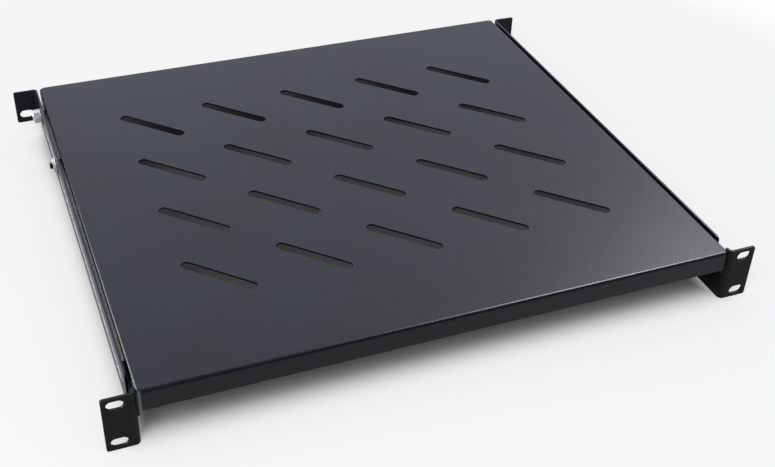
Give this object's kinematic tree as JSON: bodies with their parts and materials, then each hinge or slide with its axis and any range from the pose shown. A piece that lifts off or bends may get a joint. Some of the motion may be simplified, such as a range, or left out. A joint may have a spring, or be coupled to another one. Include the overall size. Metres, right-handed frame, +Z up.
{
  "type": "four-post rack shelf",
  "caption": "Vented one-unit rack shelf: folded steel tray with front mounting ears and slotted side rails that draw out to reach the rear posts.",
  "frame": {"origin": "centre of the front ears' four-hole pattern, on the ears' back face, which meets the rack's front posts", "axes": "+X to the right seen from the front, +Y to the back of the rack, +Z up"},
  "size_m": [0.4826, 0.406, 0.0442],
  "materials": {
    "black_powder_coat": "satin powder coat",
    "zinc_plate": "bright zinc plate",
    "black_oxide": "black oxide"
  },
  "bodies": {
    "shelf": {"shelf_tray": "black_powder_coat", "front_bracket_left": "black_powder_coat", "front_bracket_right": "black_powder_coat", "front_bolt_left": "black_oxide", "front_bolt_right": "black_oxide", "front_spacer_left": "zinc_plate", "front_spacer_right": "zinc_plate", "front_washer_left": "zinc_plate", "front_washer_right": "zinc_plate", "front_nut_left": "zinc_plate", "front_nut_right": "zinc_plate", "rear_bolt_left": "zinc_plate", "rear_bolt_right": "zinc_plate", "rear_spacer_left": "zinc_plate", "rear_spacer_right": "zinc_plate", "rear_washer_left": "zinc_plate", "rear_washer_right": "zinc_plate", "rear_nut_left": "zinc_plate", "rear_nut_right": "zinc_plate"},
    "rail_left": {"rear_rail_left": "black_powder_coat"},
    "rail_right": {"rear_rail_right": "black_powder_coat"}
  },
  "joints": [
    {"name": "rail_left_slide", "type": "slide", "parent": "shelf", "child": "rail_left", "axis": [0, 1, 0], "range_m": [0, 0.266]},
    {"name": "rail_right_slide", "type": "slide", "parent": "shelf", "child": "rail_right", "axis": [0, 1, 0], "range_m": [0, 0.266]}
  ]
}
